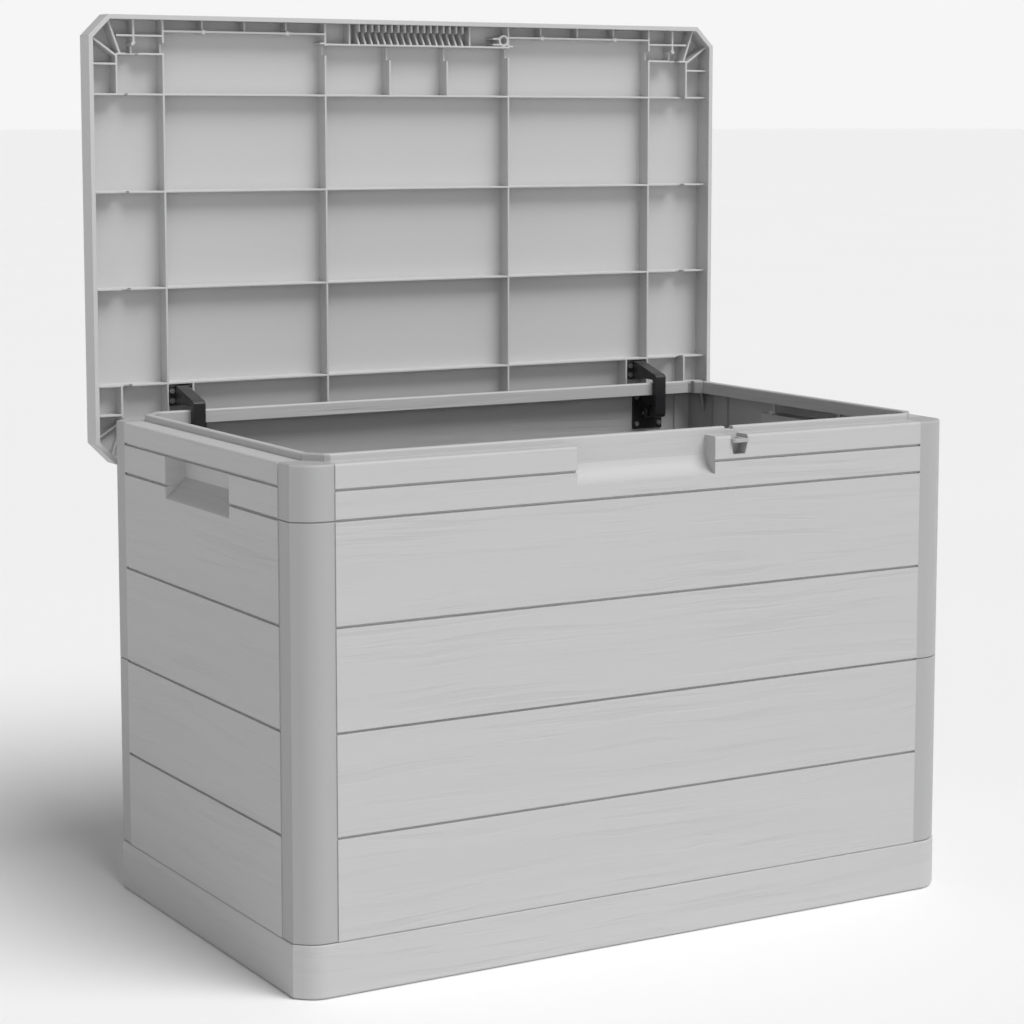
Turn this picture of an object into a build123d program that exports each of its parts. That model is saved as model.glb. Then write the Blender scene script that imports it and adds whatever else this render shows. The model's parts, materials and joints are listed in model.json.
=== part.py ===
from build123d import *
from math import atan2, degrees, hypot, sqrt
import os

os.makedirs("parts", exist_ok=True)

# Millimetres.  The origin is the centre of the footprint on the ground, +X runs to the right
# along the front, +Y towards the hinges and +Z up.  The lid is worked out lying shut and is
# then swung open to a right angle, which is how the finished model stands.

# box body
BODY_W = 756.0
BODY_D = 450.0
HALF_W = BODY_W / 2
HALF_D = BODY_D / 2
PLINTH_H = 52.0
LEDGE_Z = 500.0            # flat rim that the lid's ribs come down on
LIP_Z = 507.0              # top of the raised lip that keeps rain out
BAND_Z = 493.0             # lower edge of the band that hangs inside the lip
WALL = 4.0
SKIN = 3.0                 # thickness of the rim's webs
FACET = 16.5               # leg of the 45 degree corner facets
BEND = 30.0                # radius that eases each facet into the front or back face
POST_W = 39.5
POST_INSET = 0.8           # corner posts sit this far behind the panels
LIP_SIDE = 24.0            # lip's distance from the outer face, left and right
LIP_END = 18.5             # and front and back
LIP_T = 7.5
LIP_FACET = 20.0
LEDGE_ROUND = 2.5
LIP_ROUND = 1.8

# planks pressed into the panels
PLANK_H = 98.8
GROOVE_W = 3.4
GROOVE_FLOOR_W = 1.6
GROOVE_DEEP = 2.6
SEAM_W = 1.0               # shadow line where two pieces meet on the outside
SEAM_DEEP = 1.0
PLANK_LINES = [PLINTH_H + PLANK_H * row for row in range(1, 5)]
FRONT_BAND_Z = 475.5
SIDE_BAND_Z = 478.0
FRONT_SPLIT_Z = PLANK_LINES[1]     # front and back panels come in two heights, joined here
SIDE_SPLIT_Z = PLANK_LINES[3]      # side panels are joined here
PANEL_HALF_W = HALF_W - POST_W
PANEL_HALF_D = HALF_D - POST_W
END_LAP = 10.0             # strip on an end wall's edge that reaches behind the post
SIDE_LAP = 14.0            # and the same on a side wall
LAP_T = 3.0
STIFFENER_T = 3.0
STIFFENER_DEEP = 8.0
WEB_REACH = 17.0           # corner web under the ledge: how far it reaches in
WEB_DROP = 28.0            # and how far it runs down the post
FLANGE_DEEP = 10.0

# base tray
DECK_T = 4.0
BASE_WALL = 5.0
BASE_RIB_T = 2.5
BASE_RIB_LIFT = 2.0
BASE_RIB_COLUMNS = 9
BASE_RIB_ROWS = 5
BASE_BEVEL = 2.0

# hand holds in the left and right walls
HANDLE_LENGTH = 155.0
HANDLE_TOP_Z = 476.5
HANDLE_SILL_Z = 434.0
HANDLE_FLOOR_Z = 455.0
HANDLE_DEEP = 20.0
HANDLE_END_DRAFT = 6.0
BACKING = 3.0

# finger scoop in the front wall, under the lid's front edge
SCOOP_LENGTH = 160.0
SCOOP_SILL_Z = 463.0
SCOOP_FLOOR_Z = 481.0
SCOOP_START_SLOPE = 0.15   # rise per unit of depth where the hollow leaves the front face

# padlock eye on the front wall and the bore above it in the lid
LOCK_X = 109.0
LOCK_W = 20.0
LOCK_FROM_FRONT = 8.0
LOCK_BORE_R = 4.0
LOCK_PLATE_TOP_Z = 496.5
LOCK_PLATE_T = 3.5
LOCK_STANDS_OUT = 5.0
LOCK_CORNER_R = 4.0
LOCK_POCKET_BOTTOM_Z = 481.0
LOCK_POCKET_DEEP = 14.0
LOCK_COLLAR_R = 6.5
LOCK_LIP_NOTCH_W = 10.0

# lid, described lying shut
LID_OVERHANG = 12.0        # past the body on the left, right and front
LID_W = BODY_W + 2 * LID_OVERHANG
LID_L = 470.0
LID_TOP_Z = 520.0
LID_PLATE = 3.0
LID_RIB_LOW_Z = LEDGE_Z + 0.4
LID_SKIRT_LOW_Z = 493.5
LID_SKIRT_T = 5.0
LID_CORNER = 22.0
LID_RIB_T = 2.2
LID_TOP_ROUND = 3.0
LID_FRONT_Y = -HALF_D - LID_OVERHANG
LID_INNER_Z = LID_TOP_Z - LID_PLATE
LID_COLUMNS = [115.0, 304.5]
LID_FIRST_ROW = 82.5
LID_ROW_PITCH = 101.8
LID_ROWS = [LID_FIRST_ROW + LID_ROW_PITCH * row for row in range(4)]
LIP_GAP_SIDE = 1.3
LIP_GAP_TOP = 1.5
TOP_PLANK_LINES = [94.0 * row for row in range(1, 5)]
TOP_BORDER = 34.0
TOP_GROOVE_W = 3.0
TOP_GROOVE_DEEP = 1.0

# lid grip between the two middle columns
GRIP_LINE = 27.5
GRIP_FIN_FIRST_X = -73.5
GRIP_FIN_PITCH = 8.1
GRIP_FIN_COUNT = 17
GRIP_FIN_STEP = 13.0
GRIP_FIN_NOTCH = 9.0
GRIP_FIN_SLOPE = 1.0
GRIP_END_X = [-84.0, 66.5]
GRIP_END_LIFT = 3.0
HALF_RIB_X = 36.0
HALF_RIB_LINE = 43.5
HALF_RIB_LIFT = 8.0        # how much shallower the half ribs are ahead of that line
LOCK_STUB_LINES = [18.0, 24.5]
LOCK_STUB_LENGTH = 20.0

# corner cells at the lid's four corners
CELL_X = 357.0
CELL_LINE = 40.5
CELL_SHORT_LINE = 21.5
CELL_SIDE_LINE = 51.0
CELL_MIDDLE_X = 337.5
CELL_BOSS_LINE = 30.0
LEAN_FRONT = [(366.0, 5.0), (353.0, 40.5)]     # leaning ribs, as (x, line) of their two ends
LEAN_SIDE = [(385.0, 23.0), (357.0, 42.5)]
FRONT_LINE = 16.5
FRONT_BOSS_X = [160.0, 258.0]
FRONT_STUB_X = [160.0, 209.0, 258.0]
FRONT_STUB_LIFT = 4.0
TAB_LINE = 26.5            # tab on the outer side of the inner columns
TAB_LENGTH = 6.0
SMALL_BOSS_R = 2.6

# hinges
PIVOT_Y = HALF_D - 13.0
PIVOT_Z = 471.0
SWING = 40.5               # radius that the lid's ribs keep clear of around the pivot
HINGE_X = 290.5
HINGES = (-HINGE_X, HINGE_X)
PIN_R = 2.5
PIN_RUN = 0.05             # running clearance on the pin's radius
PIN_HEAD_T = 1.5
PIN_HEAD_LIP = 1.5
KNUCKLE_R = 6.0
ARM_W = 13.5
ARM_STRAP_FRONT = 21.5     # strap's front face ahead of the pivot
ARM_STRAP_T = 7.0
ARM_LINK_HALF = 4.0
ARM_CORNER_R = 5.0         # outer bend, where the strap leaves the link
ARM_BEVEL = 1.5
ARM_TOP_BEVEL = 2.5
ARM_CROSS_END = 22.0       # where the level stretch over the lip ends, behind the pivot
ARM_PAD_SLOPE = 4.0
ARM_OVER_LIP = 40.0        # underside of the arm above the pivot, where it crosses the lip
ARM_TOP = 46.0
ARM_BLOCK_FACE = 29.0      # pad that is screwed to the lid, behind the pivot
ARM_BLOCK_BACK = 36.0
ARM_BLOCK_LOW = 37.0
ARM_BLOCK_TOP = 58.5
ARM_PAD_W = 26.0
PAD_GAP_X = 0.4            # the lid's ribs stop this far from the pad
PAD_GAP_Z = 0.3
GUARD_RIB_X = 275.5        # short lid rib on the inner side of the pad
EAR_T = 3.0
EAR_GAP = 0.5
EAR_HALF = 6.5
BRACKET_PLATE = 2.0
BRACKET_W = 40.0
BRACKET_LOW_Z = 452.0
BRACKET_TOP_Z = 495.0
SCREW_R = 1.6
SCREW_HEAD_R = 2.8
SCREW_HEAD_T = 2.0
LID_SCREW_RISES = [42.5, 53.0]   # screw heights above the pivot with the lid open
LID_SCREW_X = 9.9
LID_SCREW_BITE = 9.0
LID_BOSS_R = 4.2
WALL_SCREW_BITE = 3.0
BRACKET_SCREW_Z = [458.0, 489.0]
BRACKET_SCREW_X = 15.5

# small hooks under the rim band, for a liner or a strap
HOOK_Y = [-75.0, 45.0]
HOOK_W = 5.0
HOOK_DROP = 11.0
HOOK_T = 2.5
HOOK_TOE = 6.0
HOOK_TOE_T = 2.5

FACET_SHRINK = 2 - sqrt(2)     # how much a facet's leg loses per unit of inset


def span(x, y, z, mode=Mode.ADD):
    """A block between two limits on each axis, given as (low, high) pairs."""
    centre = ((x[0] + x[1]) / 2, (y[0] + y[1]) / 2, (z[0] + z[1]) / 2)
    with Locations(centre):
        Box(x[1] - x[0], y[1] - y[0], z[1] - z[0], mode=mode)


def ease(outline, bend):
    """Round the corners of a footprint that lie on its front and back edges."""
    for end in (0, -1):
        fillet(outline.vertices().group_by(Axis.Y)[end], bend)


def faceted(width, depth, facet, z, bend=0.0, mode=Mode.ADD):
    """A prism on a rectangle with cut corners, between two heights."""
    with BuildSketch(Plane.XY.offset(z[0])) as footprint:
        Rectangle(width, depth)
        chamfer(footprint.vertices(), facet)
        if bend:
            ease(footprint, bend)
    extrude(footprint.sketch, amount=z[1] - z[0], mode=mode)


def side_prism(points, x, mode=Mode.ADD):
    """A prism along X on a list of (y, z) points, between two X limits."""
    with BuildSketch(Plane.YZ.offset(x[0])) as profile:
        with BuildLine():
            Polyline(*points, close=True)
        make_face()
    extrude(profile.sketch, amount=x[1] - x[0], mode=mode)


def front_prism(points, y, mode=Mode.ADD):
    """A prism along Y on a list of (x, z) points, between two Y limits."""
    with BuildSketch(Plane.XZ.offset(-y[1])) as profile:
        with BuildLine():
            Polyline(*points, close=True)
        make_face()
    extrude(profile.sketch, amount=y[1] - y[0], mode=mode)


def screw_places(hinges, spread, heights):
    """The (x, height) of every screw at the given hinges."""
    return [(hinge + side * spread, height)
            for hinge in hinges for height in heights for side in (-1, 1)]


def save(piece, name):
    """Label a finished piece and write its file."""
    piece.part.label = name
    export_step(piece.part, f"parts/{name}.step")


def seam(low_z, high_z, depth):
    """Cut a shallow slot around the outside of the walls."""
    with BuildSketch(Plane.XY.offset(low_z)) as slot:
        Rectangle(BODY_W + 2 * SKIN, BODY_D + 2 * SKIN)
        with BuildSketch(mode=Mode.SUBTRACT) as core:
            Rectangle(BODY_W - 2 * depth, BODY_D - 2 * depth)
            chamfer(core.vertices(), FACET - FACET_SHRINK * depth)
            ease(core, BEND - depth)
    extrude(slot.sketch, amount=high_z - low_z, mode=Mode.SUBTRACT)


def make_shell(inset):
    """The four walls and the rim in one ring; panels and posts are cut out of it."""
    lip_w = BODY_W - 2 * LIP_SIDE
    lip_d = BODY_D - 2 * LIP_END
    lip_inner_facet = LIP_FACET - FACET_SHRINK * LIP_T
    web_facet = LIP_FACET - FACET_SHRINK * SKIN
    with BuildPart() as ring:
        faceted(BODY_W - 2 * inset, BODY_D - 2 * inset, FACET - FACET_SHRINK * inset,
                (PLINTH_H, LEDGE_Z), BEND - inset)
        ledge = ring.edges().filter_by_position(Axis.Z, LEDGE_Z, LEDGE_Z)
        fillet(ledge, LEDGE_ROUND)
        faceted(BODY_W - 2 * WALL, BODY_D - 2 * WALL, FACET - FACET_SHRINK * WALL,
                (PLINTH_H, LEDGE_Z - SKIN), BEND - WALL, mode=Mode.SUBTRACT)
        faceted(lip_w, lip_d, LIP_FACET, (BAND_Z, LIP_Z))
        faceted(lip_w - 2 * LIP_T, lip_d - 2 * LIP_T, lip_inner_facet,
                (BAND_Z, LIP_Z), mode=Mode.SUBTRACT)
        lip_edges = ring.edges().filter_by_position(Axis.Z, LIP_Z, LIP_Z)
        fillet(lip_edges, LIP_ROUND)
        with BuildSketch(Plane.XY.offset(BAND_Z)) as channel:
            Rectangle(lip_w - 2 * SKIN, lip_d - 2 * SKIN)
            chamfer(channel.vertices(), web_facet)
            with BuildSketch(mode=Mode.SUBTRACT) as band:
                Rectangle(lip_w - 2 * (LIP_T - SKIN), lip_d - 2 * (LIP_T - SKIN))
                chamfer(band.vertices(), LIP_FACET - FACET_SHRINK * (LIP_T - SKIN))
        extrude(channel.sketch, amount=LIP_Z - SKIN - BAND_Z, mode=Mode.SUBTRACT)
        seam(PLINTH_H, PLINTH_H + SEAM_W, inset + SEAM_DEEP)
    return ring.part


panel_shell = make_shell(0.0)
post_shell = make_shell(POST_INSET)


# ---- base tray: a deck on a skirt, with a grid of ribs under it
with BuildPart() as base_tray:
    faceted(BODY_W, BODY_D, FACET, (0, PLINTH_H), BEND)
    chamfer(base_tray.faces().sort_by(Axis.Z)[0].edges(), BASE_BEVEL)
    chamfer(base_tray.faces().sort_by(Axis.Z)[-1].edges(), SEAM_DEEP)
    faceted(BODY_W - 2 * BASE_WALL, BODY_D - 2 * BASE_WALL, FACET - FACET_SHRINK * BASE_WALL,
            (0, PLINTH_H - DECK_T), BEND - BASE_WALL, mode=Mode.SUBTRACT)
    column_pitch = BODY_W / (BASE_RIB_COLUMNS + 1)
    row_pitch = BODY_D / (BASE_RIB_ROWS + 1)
    rib_z = (BASE_RIB_LIFT, PLINTH_H - DECK_T)
    for column in range(1, BASE_RIB_COLUMNS + 1):
        x = -HALF_W + column * column_pitch
        span((x - BASE_RIB_T / 2, x + BASE_RIB_T / 2),
             (-HALF_D + BASE_WALL, HALF_D - BASE_WALL), rib_z)
    for row in range(1, BASE_RIB_ROWS + 1):
        y = -HALF_D + row * row_pitch
        span((-HALF_W + BASE_WALL, HALF_W - BASE_WALL),
             (y - BASE_RIB_T / 2, y + BASE_RIB_T / 2), rib_z)
save(base_tray, "base_tray")


def groove_points(outer, inward, z):
    """Outline of a plank groove, which narrows from just outside the face to its floor."""
    return [(outer - inward, z - GROOVE_W / 2),
            (outer - inward, z + GROOVE_W / 2),
            (outer + inward * GROOVE_DEEP, z + GROOVE_FLOOR_W / 2),
            (outer + inward * GROOVE_DEEP, z - GROOVE_FLOOR_W / 2)]


def end_wall(front):
    """The front or back wall between its posts, both heights together."""
    sign = -1 if front else 1
    face = sign * HALF_D
    inner = sign * (HALF_D - WALL)
    lip_inner = sign * (HALF_D - LIP_END - LIP_T)
    lap_inner = sign * (HALF_D - WALL - LAP_T)
    half_length = PANEL_HALF_W + END_LAP
    with BuildPart() as wall:
        add(panel_shell)
        span((-PANEL_HALF_W, PANEL_HALF_W), sorted((face, lip_inner)), (PLINTH_H, LIP_Z),
             mode=Mode.INTERSECT)
        for side in (-1, 1):
            lap_x = sorted((side * (PANEL_HALF_W - END_LAP), side * half_length))
            span(lap_x, sorted((inner, lap_inner)), (PLINTH_H, BAND_Z - SKIN))
        for z in PLANK_LINES[:3]:
            deep = FLANGE_DEEP if z == FRONT_SPLIT_Z else STIFFENER_DEEP
            rib_y = sorted((inner, sign * (HALF_D - WALL - deep)))
            span((-PANEL_HALF_W, PANEL_HALF_W), rib_y, (z - STIFFENER_T, z + STIFFENER_T))
        for z in PLANK_LINES + [FRONT_BAND_Z]:
            side_prism(groove_points(face, -sign, z), (-PANEL_HALF_W, PANEL_HALF_W),
                       mode=Mode.SUBTRACT)
    return wall.part


def side_wall(sign):
    """The left (-1) or right (+1) wall between its posts, with its hand hold."""
    face = sign * HALF_W
    inner = sign * (HALF_W - WALL)
    lip_inner = sign * (HALF_W - LIP_SIDE - LIP_T)
    lap_inner = sign * (HALF_W - WALL - LAP_T)
    hold_back = sign * (HALF_W - HANDLE_DEEP)
    backing = sign * (HALF_W - HANDLE_DEEP - BACKING)
    half_hold = HANDLE_LENGTH / 2
    with BuildPart() as wall:
        add(panel_shell)
        span(sorted((face, lip_inner)), (-PANEL_HALF_D, PANEL_HALF_D), (PLINTH_H, LIP_Z),
             mode=Mode.INTERSECT)
        for side in (-1, 1):
            lap_y = sorted((side * (PANEL_HALF_D - SIDE_LAP), side * (PANEL_HALF_D + SIDE_LAP)))
            span(sorted((inner, lap_inner)), lap_y, (PLINTH_H, BAND_Z - SKIN))
        for z in PLANK_LINES:
            deep = FLANGE_DEEP if z == SIDE_SPLIT_Z else STIFFENER_DEEP
            rib_x = sorted((inner, sign * (HALF_W - WALL - deep)))
            span(rib_x, (-PANEL_HALF_D, PANEL_HALF_D), (z - STIFFENER_T, z + STIFFENER_T))
        for z in PLANK_LINES + [SIDE_BAND_Z]:
            front_prism(groove_points(face, -sign, z), (-PANEL_HALF_D, PANEL_HALF_D),
                        mode=Mode.SUBTRACT)
        outside = [(inner, HANDLE_SILL_Z - BACKING), (backing, HANDLE_FLOOR_Z - BACKING),
                   (backing, HANDLE_TOP_Z + BACKING), (inner, HANDLE_TOP_Z + BACKING)]
        front_prism(outside, (-half_hold - BACKING, half_hold + BACKING))
        with BuildSketch(Plane.YZ.offset(face)) as mouth:
            with Locations((0, (HANDLE_TOP_Z + HANDLE_SILL_Z) / 2)):
                Rectangle(HANDLE_LENGTH, HANDLE_TOP_Z - HANDLE_SILL_Z)
        with BuildSketch(Plane.YZ.offset(hold_back)) as rear:
            with Locations((0, (HANDLE_TOP_Z + HANDLE_FLOOR_Z) / 2)):
                Rectangle(HANDLE_LENGTH - 2 * HANDLE_END_DRAFT, HANDLE_TOP_Z - HANDLE_FLOOR_Z)
        loft([mouth.sketch, rear.sketch], ruled=True, mode=Mode.SUBTRACT)
    return wall.part


def cut_height(whole, z, keep_top):
    """The part of a wall above or below one height."""
    with BuildPart() as piece:
        add(whole)
        split(bisect_by=Plane.XY.offset(z), keep=Keep.TOP if keep_top else Keep.BOTTOM)
    return piece


# ---- front and back walls
front_whole = end_wall(front=True)
back_whole = end_wall(front=False)

front_panel_lower = cut_height(front_whole, FRONT_SPLIT_Z, keep_top=False)
save(front_panel_lower, "front_panel_lower")

with BuildPart() as front_panel_upper:
    add(front_whole)
    split(bisect_by=Plane.XY.offset(FRONT_SPLIT_Z), keep=Keep.TOP)
    # finger scoop: a backing behind the wall, then the curved hollow in front of the lip
    half_scoop = SCOOP_LENGTH / 2
    scoop_back = -HALF_D + LIP_END
    span((-half_scoop - BACKING, half_scoop + BACKING),
         (-HALF_D + WALL, scoop_back + BACKING), (SCOOP_SILL_Z - BACKING, LEDGE_Z - SKIN))
    with BuildSketch(Plane.YZ.offset(-half_scoop)) as scoop:
        with BuildLine():
            Line((-HALF_D - SKIN, SCOOP_SILL_Z), (-HALF_D, SCOOP_SILL_Z))
            TangentArc((-HALF_D, SCOOP_SILL_Z), (scoop_back, SCOOP_FLOOR_Z),
                       tangent=(1, SCOOP_START_SLOPE))
            Line((scoop_back, SCOOP_FLOOR_Z), (scoop_back, LEDGE_Z))
            Line((scoop_back, LEDGE_Z), (-HALF_D - SKIN, LEDGE_Z))
            Line((-HALF_D - SKIN, LEDGE_Z), (-HALF_D - SKIN, SCOOP_SILL_Z))
        make_face()
    extrude(scoop.sketch, amount=SCOOP_LENGTH, mode=Mode.SUBTRACT)
    # padlock pocket: backing, the hollow for the shackle, and the slot for the eye plate
    lock_x = (LOCK_X - LOCK_W / 2, LOCK_X + LOCK_W / 2)
    pocket_back = -HALF_D + LOCK_POCKET_DEEP
    plate_low_z = LOCK_PLATE_TOP_Z - LOCK_PLATE_T
    span((lock_x[0] - BACKING, lock_x[1] + BACKING),
         (-HALF_D + WALL, scoop_back + BACKING),
         (LOCK_POCKET_BOTTOM_Z - BACKING, LEDGE_Z - SKIN))
    pocket = [(lock_x[0], plate_low_z), (lock_x[0] + BACKING, LOCK_POCKET_BOTTOM_Z),
              (lock_x[1] - BACKING, LOCK_POCKET_BOTTOM_Z), (lock_x[1], plate_low_z)]
    front_prism(pocket, (-HALF_D - SKIN, pocket_back), mode=Mode.SUBTRACT)
    span(lock_x, (-HALF_D - SKIN, scoop_back), (plate_low_z, LEDGE_Z), mode=Mode.SUBTRACT)
    span((LOCK_X - LOCK_LIP_NOTCH_W / 2, LOCK_X + LOCK_LIP_NOTCH_W / 2),
         (scoop_back, scoop_back + LIP_T), (LIP_Z - SKIN, LIP_Z), mode=Mode.SUBTRACT)
save(front_panel_upper, "front_panel_upper")

with BuildPart() as padlock_eye:
    span(lock_x, (-HALF_D - LOCK_STANDS_OUT, scoop_back), (plate_low_z, LOCK_PLATE_TOP_Z))
    corners = padlock_eye.edges().filter_by(Axis.Z).group_by(Axis.Y)[0]
    fillet(corners, LOCK_CORNER_R)
    with Locations((LOCK_X, -HALF_D + LOCK_FROM_FRONT, LOCK_PLATE_TOP_Z)):
        Hole(LOCK_BORE_R)
save(padlock_eye, "padlock_eye")

back_panel_lower = cut_height(back_whole, FRONT_SPLIT_Z, keep_top=False)
save(back_panel_lower, "back_panel_lower")

with BuildPart() as back_panel_upper:
    add(back_whole)
    split(bisect_by=Plane.XY.offset(FRONT_SPLIT_Z), keep=Keep.TOP)
    for x, z in screw_places(HINGES, BRACKET_SCREW_X, BRACKET_SCREW_Z):
        with Locations(Plane((x, HALF_D - WALL + WALL_SCREW_BITE / 2, z), z_dir=(0, 1, 0))):
            Cylinder(SCREW_R, WALL_SCREW_BITE, mode=Mode.SUBTRACT)
save(back_panel_upper, "back_panel_upper")

# ---- side walls
for side_name, sign in (("left", -1), ("right", 1)):
    side_whole = side_wall(sign)
    save(cut_height(side_whole, SIDE_SPLIT_Z, keep_top=False), f"{side_name}_panel_lower")
    save(cut_height(side_whole, SIDE_SPLIT_Z, keep_top=True), f"{side_name}_panel_upper")

# ---- corner posts: two lengths each, turned half round from one corner to the opposite one
for corner_name, sign_x, sign_y in (("front_left", -1, -1), ("front_right", 1, -1),
                                    ("back_right", 1, 1), ("back_left", -1, 1)):
    split_z = SIDE_SPLIT_Z if sign_x == sign_y else FRONT_SPLIT_Z
    facet_middle = WALL + (FACET - FACET_SHRINK * WALL) / 2
    web_foot = (sign_x * (HALF_W - facet_middle), sign_y * (HALF_D - facet_middle), 0)
    with BuildPart() as post_whole:
        add(post_shell)
        span(sorted((sign_x * PANEL_HALF_W, sign_x * HALF_W)),
             sorted((sign_y * PANEL_HALF_D, sign_y * HALF_D)), (PLINTH_H, LIP_Z),
             mode=Mode.INTERSECT)
        seam(split_z - SEAM_W / 2, split_z + SEAM_W / 2, POST_INSET + SEAM_DEEP)
        # a web under the ledge, across the corner
        web_plane = Plane(web_foot, x_dir=(-sign_x, -sign_y, 0), z_dir=(-sign_y, sign_x, 0))
        with BuildSketch(web_plane) as web:
            with BuildLine():
                Polyline((-SKIN / 2, BAND_Z - WEB_DROP), (-SKIN / 2, LEDGE_Z - SKIN),
                         (WEB_REACH, LEDGE_Z - SKIN), (WEB_REACH, BAND_Z), close=True)
            make_face()
        extrude(web.sketch, amount=SKIN / 2, both=True)
    save(cut_height(post_whole.part, split_z, keep_top=False), f"{corner_name}_post_lower")
    save(cut_height(post_whole.part, split_z, keep_top=True), f"{corner_name}_post_upper")

# ---- hooks under the rim band of the side walls
with BuildPart() as rim_hooks:
    for sign in (-1, 1):
        band_x = sign * (HALF_W - LIP_SIDE - LIP_T)
        for y in HOOK_Y:
            span(sorted((band_x, band_x + sign * HOOK_T)), (y - HOOK_W / 2, y + HOOK_W / 2),
                 (BAND_Z - HOOK_DROP, BAND_Z))
            span(sorted((band_x, band_x - sign * HOOK_TOE)), (y - HOOK_W / 2, y + HOOK_W / 2),
                 (BAND_Z - HOOK_DROP, BAND_Z - HOOK_DROP + HOOK_TOE_T))
save(rim_hooks, "rim_hooks")


# ---- lid
def lid_y(distance):
    """Y of a line that lies a given distance behind the shut lid's front edge."""
    return LID_FRONT_Y + distance


def lid_rib(start, end, low_z=LID_RIB_LOW_Z):
    """An upright rib under the shut lid between two (x, distance) points."""
    run_x = end[0] - start[0]
    run_y = end[1] - start[1]
    middle = ((start[0] + end[0]) / 2, lid_y((start[1] + end[1]) / 2), (low_z + LID_INNER_Z) / 2)
    with Locations(Location(middle, (0, 0, degrees(atan2(run_y, run_x))))):
        Box(hypot(run_x, run_y), LID_RIB_T, LID_INNER_Z - low_z)


def lid_boss(x, distance, radius):
    """A round boss under the shut lid."""
    with Locations((x, lid_y(distance), (LID_RIB_LOW_Z + LID_INNER_Z) / 2)):
        Cylinder(radius, LID_INNER_Z - LID_RIB_LOW_Z)


def end_line(distance, flip):
    """A line counted from the lid's front edge, or from its back edge if flipped."""
    return LID_L - distance if flip else distance


skirt_in_x = LID_W / 2 - LID_SKIRT_T
skirt_in_back = LID_L - LID_SKIRT_T
outer_column = LID_COLUMNS[1]
inner_column = LID_COLUMNS[0]

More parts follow.
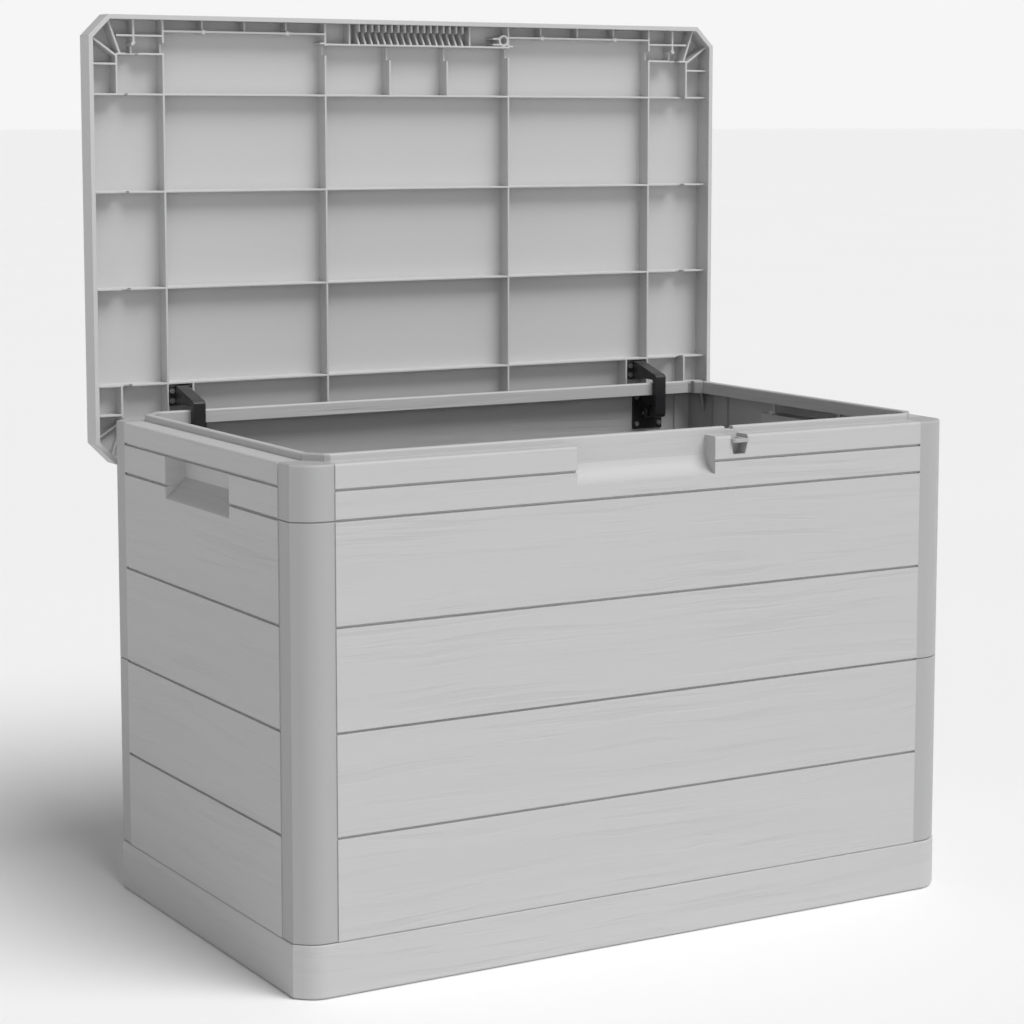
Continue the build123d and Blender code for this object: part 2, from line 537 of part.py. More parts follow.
with BuildPart() as lid_shut:
    # the rib grid
    for column in LID_COLUMNS:
        for x in (-column, column):
            lid_rib((x, LID_SKIRT_T), (x, skirt_in_back))
    for row in LID_ROWS:
        lid_rib((-skirt_in_x, row), (skirt_in_x, row))
    # cells at the four corners, and the line behind the front skirt
    for side in (-1, 1):
        for flip in (False, True):
            last_row = LID_ROWS[-1] if flip else LID_ROWS[0]
            cell, short = end_line(CELL_LINE, flip), end_line(CELL_SHORT_LINE, flip)
            skirt = end_line(LID_SKIRT_T, flip)
            side_line = end_line(CELL_SIDE_LINE, flip)
            lid_rib((side * CELL_X, last_row), (side * CELL_X, cell))
            lid_rib((side * CELL_X, cell), (side * outer_column, cell))
            lid_rib((side * CELL_X, short), (side * outer_column, short))
            lid_rib((side * skirt_in_x, side_line), (side * CELL_X, side_line))
            lid_rib((side * CELL_MIDDLE_X, skirt), (side * CELL_MIDDLE_X, cell))
            for leaning in (LEAN_FRONT, LEAN_SIDE):
                lid_rib(*[(side * x, end_line(line, flip)) for x, line in leaning])
            lid_boss(side * CELL_MIDDLE_X, end_line(CELL_BOSS_LINE, flip), SMALL_BOSS_R)
        lid_rib((side * inner_column, FRONT_LINE), (side * outer_column, FRONT_LINE))
        for x in FRONT_STUB_X:
            lid_rib((side * x, LID_SKIRT_T), (side * x, FRONT_LINE),
                    low_z=LID_RIB_LOW_Z + FRONT_STUB_LIFT)
        for x in FRONT_BOSS_X:
            lid_boss(side * x, FRONT_LINE, SMALL_BOSS_R)
        lid_rib((side * HALF_RIB_X, LID_ROWS[0]), (side * HALF_RIB_X, HALF_RIB_LINE))
        lid_rib((side * HALF_RIB_X, HALF_RIB_LINE), (side * HALF_RIB_X, GRIP_LINE),
                low_z=LID_RIB_LOW_Z + HALF_RIB_LIFT)
        lid_rib((side * GUARD_RIB_X, LID_ROWS[-1]), (side * GUARD_RIB_X, skirt_in_back))
        lid_rib((side * inner_column, TAB_LINE), (side * (inner_column + TAB_LENGTH), TAB_LINE))
    # grip pocket
    lid_rib((-inner_column, GRIP_LINE), (inner_column, GRIP_LINE))
    for x in GRIP_END_X:
        lid_rib((x, LID_SKIRT_T), (x, GRIP_LINE), low_z=LID_RIB_LOW_Z + GRIP_END_LIFT)
    for number in range(GRIP_FIN_COUNT):
        x = GRIP_FIN_FIRST_X + number * GRIP_FIN_PITCH
        fin = [(lid_y(LID_SKIRT_T), LID_INNER_Z), (lid_y(LID_SKIRT_T), LID_RIB_LOW_Z),
               (lid_y(GRIP_FIN_STEP), LID_RIB_LOW_Z),
               (lid_y(GRIP_FIN_STEP + GRIP_FIN_SLOPE), LID_RIB_LOW_Z + GRIP_FIN_NOTCH),
               (lid_y(GRIP_LINE), LID_RIB_LOW_Z), (lid_y(GRIP_LINE), LID_INNER_Z)]
        side_prism(fin, (x - LID_RIB_T / 2, x + LID_RIB_T / 2))
    # stub ribs that steady the padlock collar
    for line in LOCK_STUB_LINES:
        lid_rib((inner_column - LOCK_STUB_LENGTH, line), (inner_column, line))
    lid_boss(LOCK_X, LID_OVERHANG + LOCK_FROM_FRONT, LOCK_COLLAR_R)
    # screw bosses under the hinge pads
    pad_z = PIVOT_Z + ARM_BLOCK_BACK
    for x, rise in screw_places(HINGES, LID_SCREW_X, LID_SCREW_RISES):
        with Locations((x, PIVOT_Y - rise, (pad_z + LID_INNER_Z) / 2)):
            Cylinder(LID_BOSS_R, LID_INNER_Z - pad_z)
    # room for the lip under the ribs, and for the rim that passes behind as the lid swings
    lip_out = ((BODY_W - 2 * LIP_SIDE + 2 * LIP_GAP_SIDE), (BODY_D - 2 * LIP_END + 2 * LIP_GAP_SIDE))
    lip_in = (lip_out[0] - 2 * LIP_T - 4 * LIP_GAP_SIDE, lip_out[1] - 2 * LIP_T - 4 * LIP_GAP_SIDE)
    with BuildSketch(Plane.XY.offset(LID_RIB_LOW_Z - SKIN)) as lip_room:
        Rectangle(*lip_out)
        chamfer(lip_room.vertices(), LIP_FACET)
        with BuildSketch(mode=Mode.SUBTRACT) as inside_lip:
            Rectangle(*lip_in)
            chamfer(inside_lip.vertices(), LIP_FACET - FACET_SHRINK * (LIP_T + 2 * LIP_GAP_SIDE))
    extrude(lip_room.sketch, amount=LIP_Z + LIP_GAP_TOP - LID_RIB_LOW_Z + SKIN, mode=Mode.SUBTRACT)
    with Locations(Plane((0, PIVOT_Y, PIVOT_Z), z_dir=(1, 0, 0))):
        Cylinder(SWING, LID_W, mode=Mode.SUBTRACT)
    # room for the two hinge pads
    pad_half = ARM_PAD_W / 2 + PAD_GAP_X
    for hinge in HINGES:
        span((hinge - pad_half, hinge + pad_half),
             (PIVOT_Y - ARM_BLOCK_TOP - PAD_GAP_Z, PIVOT_Y - ARM_BLOCK_LOW + PAD_GAP_Z),
             (PIVOT_Z, pad_z), mode=Mode.SUBTRACT)
    # plate and skirt
    with BuildSketch(Plane.XY.offset(LID_SKIRT_LOW_Z)) as lid_outline:
        with Locations((0, lid_y(LID_L / 2))):
            Rectangle(LID_W, LID_L)
        chamfer(lid_outline.vertices(), LID_CORNER)
    with BuildSketch(Plane.XY.offset(LID_SKIRT_LOW_Z)) as skirt_ring:
        add(lid_outline.sketch.moved(Location((0, 0, -LID_SKIRT_LOW_Z))))
        offset(lid_outline.sketch.moved(Location((0, 0, -LID_SKIRT_LOW_Z))),
               amount=-LID_SKIRT_T, kind=Kind.INTERSECTION, mode=Mode.SUBTRACT)
    extrude(skirt_ring.sketch, amount=LID_TOP_Z - LID_SKIRT_LOW_Z)
    extrude(lid_outline.sketch.moved(Location((0, 0, LID_INNER_Z - LID_SKIRT_LOW_Z))),
            amount=LID_PLATE)
    fillet(lid_shut.faces().sort_by(Axis.Z)[-1].outer_wire().edges(), LID_TOP_ROUND)
    # plank lines on the top, inside a plain border
    half_field = LID_W / 2 - TOP_BORDER
    for distance in TOP_PLANK_LINES:
        y = lid_y(distance)
        groove = [(y - TOP_GROOVE_W / 2, LID_TOP_Z), (y + TOP_GROOVE_W / 2, LID_TOP_Z),
                  (y, LID_TOP_Z - TOP_GROOVE_DEEP)]
        side_prism(groove, (-half_field, half_field), mode=Mode.SUBTRACT)
    # padlock bore, and the screw holes in the bosses
    with Locations((LOCK_X, -HALF_D + LOCK_FROM_FRONT, LID_TOP_Z)):
        Hole(LOCK_BORE_R)
    for x, rise in screw_places(HINGES, LID_SCREW_X, LID_SCREW_RISES):
        with Locations((x, PIVOT_Y - rise, pad_z + LID_SCREW_BITE / 2)):
            Cylinder(SCREW_R, LID_SCREW_BITE, mode=Mode.SUBTRACT)

pivot_axis = Axis((0, PIVOT_Y, PIVOT_Z), (1, 0, 0))
with BuildPart() as lid:
    add(lid_shut.part.rotate(pivot_axis, -90))
save(lid, "lid")

# ---- hinges, drawn with the lid open; sizes are counted from the pivot
strap_front = PIVOT_Y - ARM_STRAP_FRONT
strap_back = strap_front + ARM_STRAP_T
block_face = PIVOT_Y + ARM_BLOCK_FACE
block_back = PIVOT_Y + ARM_BLOCK_BACK

for side_name, hinge in (("left", -HINGE_X), ("right", HINGE_X)):
    with BuildPart() as arm:
        outline = [(PIVOT_Y, PIVOT_Z - ARM_LINK_HALF),
                   (PIVOT_Y, PIVOT_Z + ARM_LINK_HALF),
                   (strap_back, PIVOT_Z + ARM_LINK_HALF),
                   (strap_back, PIVOT_Z + ARM_OVER_LIP - ARM_BEVEL),
                   (strap_back + ARM_BEVEL, PIVOT_Z + ARM_OVER_LIP),
                   (PIVOT_Y + ARM_CROSS_END, PIVOT_Z + ARM_OVER_LIP),
                   (block_face, PIVOT_Z + ARM_BLOCK_LOW),
                   (block_back, PIVOT_Z + ARM_BLOCK_LOW),
                   (block_back, PIVOT_Z + ARM_BLOCK_TOP),
                   (block_face - ARM_PAD_SLOPE, PIVOT_Z + ARM_BLOCK_TOP),
                   (strap_front + ARM_TOP_BEVEL, PIVOT_Z + ARM_TOP),
                   (strap_front, PIVOT_Z + ARM_TOP - ARM_TOP_BEVEL),
                   (strap_front, PIVOT_Z - ARM_LINK_HALF)]
        side_prism(outline, (hinge - ARM_W / 2, hinge + ARM_W / 2))
        low_corner = arm.edges().filter_by(Axis.X).group_by(Axis.Z)[0].sort_by(Axis.Y)[0]
        fillet(low_corner, ARM_CORNER_R)
        with Locations(Plane((hinge, PIVOT_Y, PIVOT_Z), z_dir=(1, 0, 0))):
            Cylinder(KNUCKLE_R, ARM_W)
        span((hinge - ARM_PAD_W / 2, hinge + ARM_PAD_W / 2), (block_face, block_back),
             (PIVOT_Z + ARM_BLOCK_LOW, PIVOT_Z + ARM_BLOCK_TOP))
        with Locations(Plane((hinge, PIVOT_Y, PIVOT_Z), z_dir=(1, 0, 0))):
            Cylinder(PIN_R + PIN_RUN, ARM_W, mode=Mode.SUBTRACT)
        for x, rise in screw_places((hinge,), LID_SCREW_X, LID_SCREW_RISES):
            middle = (x, (block_face + block_back) / 2, PIVOT_Z + rise)
            with Locations(Plane(middle, z_dir=(0, 1, 0))):
                Cylinder(SCREW_R, ARM_BLOCK_BACK - ARM_BLOCK_FACE, mode=Mode.SUBTRACT)
    save(arm, f"{side_name}_hinge_arm")

    plate_face = HALF_D - WALL - BRACKET_PLATE
    ear_in = ARM_W / 2 + EAR_GAP
    with BuildPart() as bracket:
        span((hinge - BRACKET_W / 2, hinge + BRACKET_W / 2), (plate_face, HALF_D - WALL),
             (BRACKET_LOW_Z, BRACKET_TOP_Z))
        for side in (-1, 1):
            ear_x = sorted((hinge + side * ear_in, hinge + side * (ear_in + EAR_T)))
            span(ear_x, (PIVOT_Y, plate_face), (PIVOT_Z - EAR_HALF, PIVOT_Z + EAR_HALF))
            with Locations(Plane(((ear_x[0] + ear_x[1]) / 2, PIVOT_Y, PIVOT_Z), z_dir=(1, 0, 0))):
                Cylinder(EAR_HALF, EAR_T)
        with Locations(Plane((hinge, PIVOT_Y, PIVOT_Z), z_dir=(1, 0, 0))):
            Cylinder(PIN_R, BRACKET_W, mode=Mode.SUBTRACT)
        for x, z in screw_places((hinge,), BRACKET_SCREW_X, BRACKET_SCREW_Z):
            middle = (x, plate_face + BRACKET_PLATE / 2, z)
            with Locations(Plane(middle, z_dir=(0, 1, 0))):
                Cylinder(SCREW_R, BRACKET_PLATE, mode=Mode.SUBTRACT)
    save(bracket, f"{side_name}_hinge_bracket")

    pin_half = ear_in + EAR_T
    with BuildPart() as pin:
        with Locations(Plane((hinge, PIVOT_Y, PIVOT_Z), z_dir=(1, 0, 0))):
            Cylinder(PIN_R, 2 * pin_half)
        with Locations(Plane((hinge + pin_half + PIN_HEAD_T / 2, PIVOT_Y, PIVOT_Z), z_dir=(1, 0, 0))):
            Cylinder(PIN_R + PIN_HEAD_LIP, PIN_HEAD_T)
    save(pin, f"{side_name}_hinge_pin")


def screw(face, bite, x, z):
    """A pan head screw driven along +Y, its head on the face at the given Y."""
    with Locations(Plane((x, face - SCREW_HEAD_T / 2, z), z_dir=(0, 1, 0))):
        Cylinder(SCREW_HEAD_R, SCREW_HEAD_T)
    with Locations(Plane((x, face + bite / 2, z), z_dir=(0, 1, 0))):
        Cylinder(SCREW_R, bite)


with BuildPart() as hinge_arm_screws:
    for x, rise in screw_places(HINGES, LID_SCREW_X, LID_SCREW_RISES):
        screw(block_face, ARM_BLOCK_BACK - ARM_BLOCK_FACE + LID_SCREW_BITE, x, PIVOT_Z + rise)
save(hinge_arm_screws, "hinge_arm_screws")

with BuildPart() as hinge_bracket_screws:
    for x, z in screw_places(HINGES, BRACKET_SCREW_X, BRACKET_SCREW_Z):
        screw(plate_face, BRACKET_PLATE + WALL_SCREW_BITE, x, z)
save(hinge_bracket_screws, "hinge_bracket_screws")
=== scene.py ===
import json
import math

import bmesh
import bpy
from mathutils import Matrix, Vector


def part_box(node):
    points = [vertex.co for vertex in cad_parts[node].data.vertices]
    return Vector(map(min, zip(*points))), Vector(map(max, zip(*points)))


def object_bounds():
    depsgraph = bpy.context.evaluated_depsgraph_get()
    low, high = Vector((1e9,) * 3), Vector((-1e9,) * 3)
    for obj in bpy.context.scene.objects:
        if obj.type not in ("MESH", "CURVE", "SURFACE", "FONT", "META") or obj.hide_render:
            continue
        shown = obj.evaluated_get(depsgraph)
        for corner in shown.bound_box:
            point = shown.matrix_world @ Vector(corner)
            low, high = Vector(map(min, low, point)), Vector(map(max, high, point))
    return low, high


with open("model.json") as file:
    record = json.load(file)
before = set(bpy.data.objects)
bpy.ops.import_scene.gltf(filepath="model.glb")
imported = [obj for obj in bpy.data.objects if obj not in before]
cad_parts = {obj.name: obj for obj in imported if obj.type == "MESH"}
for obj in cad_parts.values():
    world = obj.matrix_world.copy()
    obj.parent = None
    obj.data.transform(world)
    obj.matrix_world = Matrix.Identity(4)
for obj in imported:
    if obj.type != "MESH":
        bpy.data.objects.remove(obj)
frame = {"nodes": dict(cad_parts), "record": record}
cad_low, cad_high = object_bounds()

MM = 0.001

# sizes that the looks share with the design, in metres
PLINTH_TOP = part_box("base_tray")[1].z
PLANK = 98.8 * MM

# camera: the photograph's viewing angle and lens
CAMERA_AT = Vector((-1.3886, -2.3428, 0.8061))
CAMERA_YAW = math.radians(30.27)
CAMERA_PITCH = math.radians(6.65)
CAMERA_LENS = 92.1
CAMERA_SENSOR = 36.0
CAMERA_SHIFT = -0.08

# light: one broad sun over white surroundings; azimuth 0 shines from the front, 90 from the right
SUN_AZIMUTH = math.radians(25.0)
SUN_ELEVATION = math.radians(57.0)
SUN_WIDTH = math.radians(40.0)
SUN_STRENGTH = 2.85
HORIZON_STRENGTH = 0.92
OVERHEAD_STRENGTH = 0.20
# the sines of the elevations between which the surroundings turn dimmer
HORIZON_BAND = (0.15, 0.45)

FLOOR_REACH = 400.0
FLOOR_GAP = 0.2 * MM
FLOOR_DARK, FLOOR_LIGHT = (0.85, 0.85, 0.85), (0.87, 0.87, 0.87)

# the moulded colours, from their darkest streak to their lightest, and the metal's
PANEL_DARK, PANEL_LIGHT = (0.445, 0.445, 0.445), (0.482, 0.482, 0.482)
LID_DARK, LID_LIGHT = (0.505, 0.505, 0.506), (0.540, 0.540, 0.541)
POST_DARK, POST_LIGHT = (0.362, 0.362, 0.363), (0.386, 0.386, 0.387)
NYLON_DARK, NYLON_LIGHT = (0.010, 0.010, 0.011), (0.018, 0.018, 0.020)
ZINC_DARK, ZINC_LIGHT = (0.42, 0.42, 0.41), (0.60, 0.60, 0.58)

# how rough each finish is, from its glossiest spots to its dullest
GRAINED_ROUGHNESS = (0.52, 0.62)
SMOOTH_ROUGHNESS = (0.46, 0.56)
NYLON_ROUGHNESS = (0.26, 0.42)
ZINC_ROUGHNESS = (0.28, 0.42)

# layers of the pressed grain: features in a metre along the wall and in a metre up it,
# then how much finer detail a layer holds and how rough that detail is
DRIFT = (3.2, 9.0, 2.0, 0.5)
BROAD = (2.0, 45.0, 2.0, 0.5)
STREAKS = (5.5, 120.0, 2.5, 0.5)
FINE = (14.0, 330.0, 3.0, 0.55)
PORES = (26.0, 900.0, 2.0, 0.6)
CLEAR = (4.5, 14.0, 2.0, 0.5)

DRIFT_RISE = 32.0 * MM             # how far the streaks wander up and down a plank
STREAK_WARP = 0.2
VEIN_BAND = (0.50, 0.68)           # streak values between which a vein sinks in
CLEAR_BAND = (0.36, 0.62)          # and the values between which veins go from faded to clear
FADED = 0.35
FINE_SHARE = 0.25                  # of the relief; the veins have the rest
BROAD_SHARE = 0.35                 # of the colour; the relief has the rest
PATCH_SHARE = 0.12
FACING_BAND = (0.5, 0.9)           # normals between which the lid's plain inside turns grained
PLAIN_SHADE = 0.6                  # where the lid's plain inside lies between dark and light

# how far apart the grain's patterns lie from plank to plank, and from wall to wall
PLANK_STEP = 7.31
SIDE_STEP = 3.7
FACES_SIDE = 0.75                  # a face whose normal has more X than this is a side wall's

MOULDED_EDGE = 1.2 * MM            # the radius that the shading gives to sharp edges
EDGE_SAMPLES = 6
NOISE_RANGE = (0.3, 0.7)           # nearly all of a noise's values lie between these


# ---------------------------------------------------------------- node helpers
def new_material(name):
    """An empty node material with its shader and output."""
    material = bpy.data.materials.new(name)
    material.use_nodes = True
    tree = material.node_tree
    tree.nodes.clear()
    output = tree.nodes.new("ShaderNodeOutputMaterial")
    shader = tree.nodes.new("ShaderNodeBsdfPrincipled")
    tree.links.new(shader.outputs["BSDF"], output.inputs["Surface"])
    return material, tree, shader


def math_node(tree, operation, first, second=None, third=None):
    """A maths node on sockets or numbers; returns its output."""
    node = tree.nodes.new("ShaderNodeMath")
    node.operation = operation
    for socket, value in zip(node.inputs, (first, second, third)):
        if value is None:
            continue
        if isinstance(value, (int, float)):
            socket.default_value = value
        else:
            tree.links.new(value, socket)
    return node.outputs["Value"]


def shared(tree, first, share, second):
    """The first value's share plus the second's rest."""
    rest = math_node(tree, "MULTIPLY", second, 1.0 - share)
    return math_node(tree, "MULTIPLY_ADD", first, share, rest)


def noise(tree, vector, scale, detail=2.0, roughness=0.5, warp=0.0):
    """A noise texture's value."""
    node = tree.nodes.new("ShaderNodeTexNoise")
    node.inputs["Scale"].default_value = scale
    node.inputs["Detail"].default_value = detail
    node.inputs["Roughness"].default_value = roughness
    node.inputs["Distortion"].default_value = warp
    tree.links.new(vector, node.inputs["Vector"])
    return node.outputs["Fac"]


def ramp(tree, value, band, outputs=(0.0, 1.0)):
    """A smooth remap of a value from a band to the outputs at its two ends."""
    node = tree.nodes.new("ShaderNodeMapRange")
    node.interpolation_type = "SMOOTHSTEP"
    node.inputs["From Min"].default_value = band[0]
    node.inputs["From Max"].default_value = band[1]
    node.inputs["To Min"].default_value = outputs[0]
    node.inputs["To Max"].default_value = outputs[1]
    tree.links.new(value, node.inputs["Value"])
    return node.outputs["Result"]


def colour_mix(tree, factor, low, high):
    """A colour between two others."""
    node = tree.nodes.new("ShaderNodeMix")
    node.data_type = "RGBA"
    node.inputs["A"].default_value = (*low, 1.0)
    node.inputs["B"].default_value = (*high, 1.0)
    tree.links.new(factor, node.inputs["Factor"])
    return node.outputs["Result"]


def bump(tree, height, distance, strength, under=None):
    """A bump from a height, on top of an earlier one if given."""
    node = tree.nodes.new("ShaderNodeBump")
    node.inputs["Distance"].default_value = distance
    node.inputs["Strength"].default_value = strength
    tree.links.new(height, node.inputs["Height"])
    if under is not None:
        tree.links.new(under, node.inputs["Normal"])
    return node.outputs["Normal"]


def eased_edges(tree):
    """A normal that rounds the sharp moulded edges by a small radius."""
    node = tree.nodes.new("ShaderNodeBevel")
    node.samples = EDGE_SAMPLES
    node.inputs["Radius"].default_value = MOULDED_EDGE
    return node.outputs["Normal"]


def mould_face(tree, place, scale, under):
    """The fine texture of a mould's face, as a bump over an earlier one."""
    return bump(tree, noise(tree, place, scale), distance=0.08 * MM, strength=0.3, under=under)


# ---------------------------------------------------------------- grained resin
def wall_places(tree, place):
    """Values along a wall and up it, a step for each plank, and how far a face looks back."""
    split = tree.nodes.new("ShaderNodeSeparateXYZ")
    tree.links.new(place.outputs["Object"], split.inputs["Vector"])
    normal = tree.nodes.new("ShaderNodeSeparateXYZ")
    tree.links.new(place.outputs["Normal"], normal.inputs["Vector"])
    sideways = math_node(tree, "ABSOLUTE", normal.outputs["X"])
    on_side = math_node(tree, "GREATER_THAN", sideways, FACES_SIDE)
    along = tree.nodes.new("ShaderNodeMix")
    along.data_type = "FLOAT"
    tree.links.new(on_side, along.inputs["Factor"])
    tree.links.new(split.outputs["X"], along.inputs["A"])
    tree.links.new(split.outputs["Y"], along.inputs["B"])
    above_plinth = math_node(tree, "SUBTRACT", split.outputs["Z"], PLINTH_TOP)
    plank = math_node(tree, "FLOOR", math_node(tree, "DIVIDE", above_plinth, PLANK))
    side_step = math_node(tree, "MULTIPLY", on_side, SIDE_STEP)
    step = math_node(tree, "ADD", math_node(tree, "MULTIPLY", plank, PLANK_STEP), side_step)
    return along.outputs["Result"], split.outputs["Z"], step, normal.outputs["Y"]


def grain_layer(tree, along, height, step, layer, warp=0.0):
    """Noise stretched along the wall, as its layer says."""
    along_scale, height_scale, detail, roughness = layer
    vector = tree.nodes.new("ShaderNodeCombineXYZ")
    tree.links.new(math_node(tree, "MULTIPLY_ADD", along, along_scale, step), vector.inputs["X"])
    tree.links.new(math_node(tree, "MULTIPLY", height, height_scale), vector.inputs["Y"])
    tree.links.new(step, vector.inputs["Z"])
    return noise(tree, vector.outputs["Vector"], 1.0, detail, roughness, warp)


def pressed_veins(tree, along, height, wavy_height, step):
    """Thin sunk streaks, clearest in drifting patches and faded between them."""
    streaks = grain_layer(tree, along, wavy_height, step, STREAKS, STREAK_WARP)
    clear = grain_layer(tree, along, height, step, CLEAR)
    sunk = math_node(tree, "MULTIPLY", ramp(tree, clear, CLEAR_BAND, (FADED, 1.0)),
                     ramp(tree, streaks, VEIN_BAND))
    return math_node(tree, "SUBTRACT", 1.0, sunk)


def grained_resin(name, dark, light, only_facing_back=False):
    """Moulded resin with a shallow wood grain pressed into it."""
    material, tree, shader = new_material(name)
    place = tree.nodes.new("ShaderNodeTexCoord")
    along, height, step, faces_back = wall_places(tree, place)
    drift = grain_layer(tree, along, height, step, DRIFT)
    wavy_height = math_node(tree, "MULTIPLY_ADD", drift, DRIFT_RISE, height)
    broad = grain_layer(tree, along, wavy_height, step, BROAD)
    fine = grain_layer(tree, along, wavy_height, step, FINE)
    pores = grain_layer(tree, along, wavy_height, step, PORES)
    veins = pressed_veins(tree, along, height, wavy_height, step)
    grain = shared(tree, fine, FINE_SHARE, veins)
    shade = shared(tree, ramp(tree, broad, NOISE_RANGE), BROAD_SHARE, grain)
    if only_facing_back:
        shown = ramp(tree, faces_back, FACING_BAND)
        grain = math_node(tree, "MULTIPLY", grain, shown)
        pores = math_node(tree, "MULTIPLY", pores, shown)
        past_plain = math_node(tree, "SUBTRACT", shade, PLAIN_SHADE)
        shade = math_node(tree, "MULTIPLY_ADD", shown, past_plain, PLAIN_SHADE)
    # slow drifts of colour across the whole moulding
    patches = math_node(tree, "SUBTRACT", noise(tree, place.outputs["Object"], scale=5.0), 0.5)
    shade = math_node(tree, "MULTIPLY_ADD", patches, PATCH_SHARE, shade)
    relief = bump(tree, grain, distance=0.6 * MM, strength=0.5, under=eased_edges(tree))
    relief = bump(tree, pores, distance=0.2 * MM, strength=0.35, under=relief)
    relief = mould_face(tree, place.outputs["Object"], scale=1400.0, under=relief)
    tree.links.new(colour_mix(tree, shade, dark, light), shader.inputs["Base Color"])
    tree.links.new(ramp(tree, pores, NOISE_RANGE, GRAINED_ROUGHNESS), shader.inputs["Roughness"])
    tree.links.new(relief, shader.inputs["Normal"])
    shader.inputs["Specular IOR Level"].default_value = 0.35
    return material


# ---------------------------------------------------------------- smooth resin, nylon and steel
def smooth_resin(name, dark, light):
    """Moulded resin with an even, faintly textured face."""
    material, tree, shader = new_material(name)
    place = tree.nodes.new("ShaderNodeTexCoord").outputs["Object"]
    patches = noise(tree, place, scale=6.0, detail=3.0)
    flow = noise(tree, place, scale=45.0, detail=4.0, roughness=0.6)
    shade = shared(tree, flow, 0.4, patches)
    relief = bump(tree, flow, distance=0.2 * MM, strength=0.15, under=eased_edges(tree))
    relief = mould_face(tree, place, scale=1500.0, under=relief)
    tree.links.new(colour_mix(tree, shade, dark, light), shader.inputs["Base Color"])
    tree.links.new(ramp(tree, flow, NOISE_RANGE, SMOOTH_ROUGHNESS), shader.inputs["Roughness"])
    tree.links.new(relief, shader.inputs["Normal"])
    shader.inputs["Specular IOR Level"].default_value = 0.4
    return material


def black_nylon(name):
    """Glass-filled nylon: near black, with a fine sparkle of filler."""
    material, tree, shader = new_material(name)
    place = tree.nodes.new("ShaderNodeTexCoord").outputs["Object"]
    specks = noise(tree, place, scale=900.0, detail=3.0, roughness=0.6)
    scuffs = noise(tree, place, scale=60.0, detail=4.0, roughness=0.6)
    relief = bump(tree, specks, distance=0.1 * MM, strength=0.4, under=eased_edges(tree))
    tree.links.new(colour_mix(tree, specks, NYLON_DARK, NYLON_LIGHT), shader.inputs["Base Color"])
    tree.links.new(ramp(tree, scuffs, NOISE_RANGE, NYLON_ROUGHNESS), shader.inputs["Roughness"])
    tree.links.new(relief, shader.inputs["Normal"])
    return material


def zinc_steel(name):
    """Zinc-plated steel with fine turning marks."""
    material, tree, shader = new_material(name)
    place = tree.nodes.new("ShaderNodeTexCoord").outputs["Object"]
    marks = noise(tree, place, scale=1800.0)
    bloom = noise(tree, place, scale=220.0, detail=3.0)
    relief = bump(tree, marks, distance=0.05 * MM, strength=0.4)
    tree.links.new(colour_mix(tree, bloom, ZINC_DARK, ZINC_LIGHT), shader.inputs["Base Color"])
    tree.links.new(ramp(tree, marks, NOISE_RANGE, ZINC_ROUGHNESS), shader.inputs["Roughness"])
    tree.links.new(relief, shader.inputs["Normal"])
    shader.inputs["Metallic"].default_value = 1.0
    return material


# ---------------------------------------------------------------- the design's nodes
def finish_nodes():
    """Give each node the material of its slot."""
    finish_of = {
        "grained_panel": grained_resin("grained_resin", PANEL_DARK, PANEL_LIGHT),
        "lid_shell": grained_resin("lid_resin", LID_DARK, LID_LIGHT, only_facing_back=True),
        "smooth_post": smooth_resin("smooth_resin", POST_DARK, POST_LIGHT),
        "black_hinge": black_nylon("black_nylon"),
        "zinc_steel": zinc_steel("zinc_steel"),
    }
    slot_of = {row["node"]: row["material_slot"] for row in frame["record"]["subparts"]}
    for node_name, node_object in frame["nodes"].items():
        node_object.data.materials.clear()
        node_object.data.materials.append(finish_of[slot_of[node_name]])


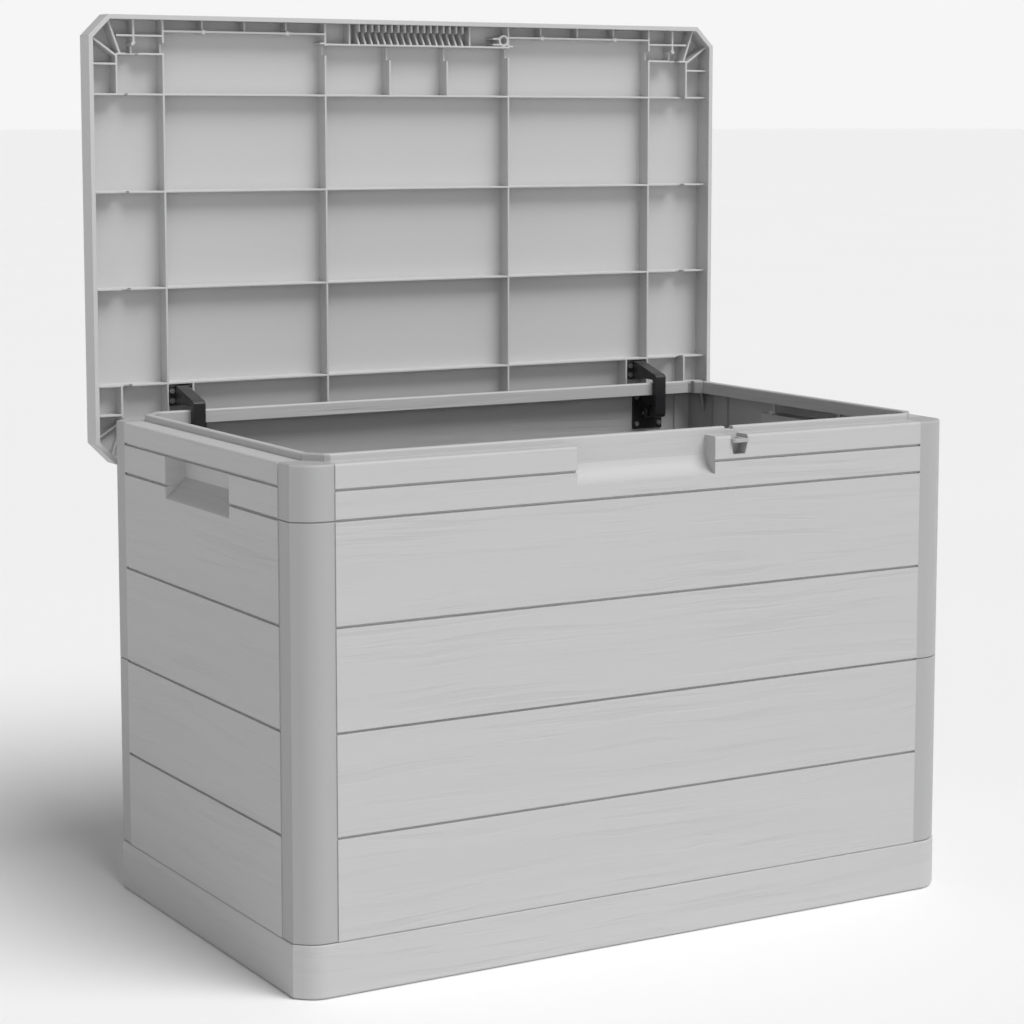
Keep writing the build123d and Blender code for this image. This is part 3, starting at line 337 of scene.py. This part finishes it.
# ---------------------------------------------------------------- floor, light and camera
def make_floor():
    """A plain pale floor that reaches the horizon."""
    material, tree, shader = new_material("pale_floor")
    place = tree.nodes.new("ShaderNodeTexCoord").outputs["Object"]
    cloud = noise(tree, place, scale=0.8)
    tree.links.new(colour_mix(tree, cloud, FLOOR_DARK, FLOOR_LIGHT), shader.inputs["Base Color"])
    shader.inputs["Roughness"].default_value = 0.9
    mesh = bpy.data.meshes.new("floor")
    form = bmesh.new()
    bmesh.ops.create_grid(form, x_segments=8, y_segments=8, size=FLOOR_REACH)
    form.to_mesh(mesh)
    form.free()
    mesh.materials.append(material)
    floor = bpy.data.objects.new("floor", mesh)
    floor.location.z = cad_low.z - FLOOR_GAP
    bpy.context.scene.collection.objects.link(floor)


def make_world():
    """White surroundings, bright around the horizon and dimmer overhead."""
    world = bpy.data.worlds.new("studio")
    world.use_nodes = True
    tree = world.node_tree
    background = tree.nodes["Background"]
    background.inputs["Color"].default_value = (1.0, 1.0, 1.0, 1.0)
    direction = tree.nodes.new("ShaderNodeTexCoord")
    split = tree.nodes.new("ShaderNodeSeparateXYZ")
    tree.links.new(direction.outputs["Generated"], split.inputs["Vector"])
    strength = ramp(tree, split.outputs["Z"], HORIZON_BAND, (HORIZON_STRENGTH, OVERHEAD_STRENGTH))
    tree.links.new(strength, background.inputs["Strength"])
    bpy.context.scene.world = world


def make_sun():
    """The broad distant light."""
    data = bpy.data.lights.new("key", "SUN")
    data.energy = SUN_STRENGTH
    data.angle = SUN_WIDTH
    lamp = bpy.data.objects.new("key", data)
    level = math.cos(SUN_ELEVATION)
    towards = Vector((math.sin(SUN_AZIMUTH) * level, -math.cos(SUN_AZIMUTH) * level,
                      math.sin(SUN_ELEVATION)))
    lamp.rotation_mode = "QUATERNION"
    lamp.rotation_quaternion = towards.to_track_quat("Z", "Y")
    bpy.context.scene.collection.objects.link(lamp)


def make_camera():
    """The camera at the photograph's viewing angle."""
    data = bpy.data.cameras.new("camera")
    data.lens = CAMERA_LENS
    data.sensor_width = CAMERA_SENSOR
    data.shift_y = CAMERA_SHIFT
    data.clip_end = 2.0 * FLOOR_REACH
    camera = bpy.data.objects.new("camera", data)
    camera.location = CAMERA_AT
    camera.rotation_euler = (math.pi / 2 - CAMERA_PITCH, 0.0, -CAMERA_YAW)
    bpy.context.scene.collection.objects.link(camera)
    bpy.context.scene.camera = camera


finish_nodes()
make_floor()
make_world()
make_sun()
make_camera()
bpy.context.scene.view_settings.view_transform = "Standard"
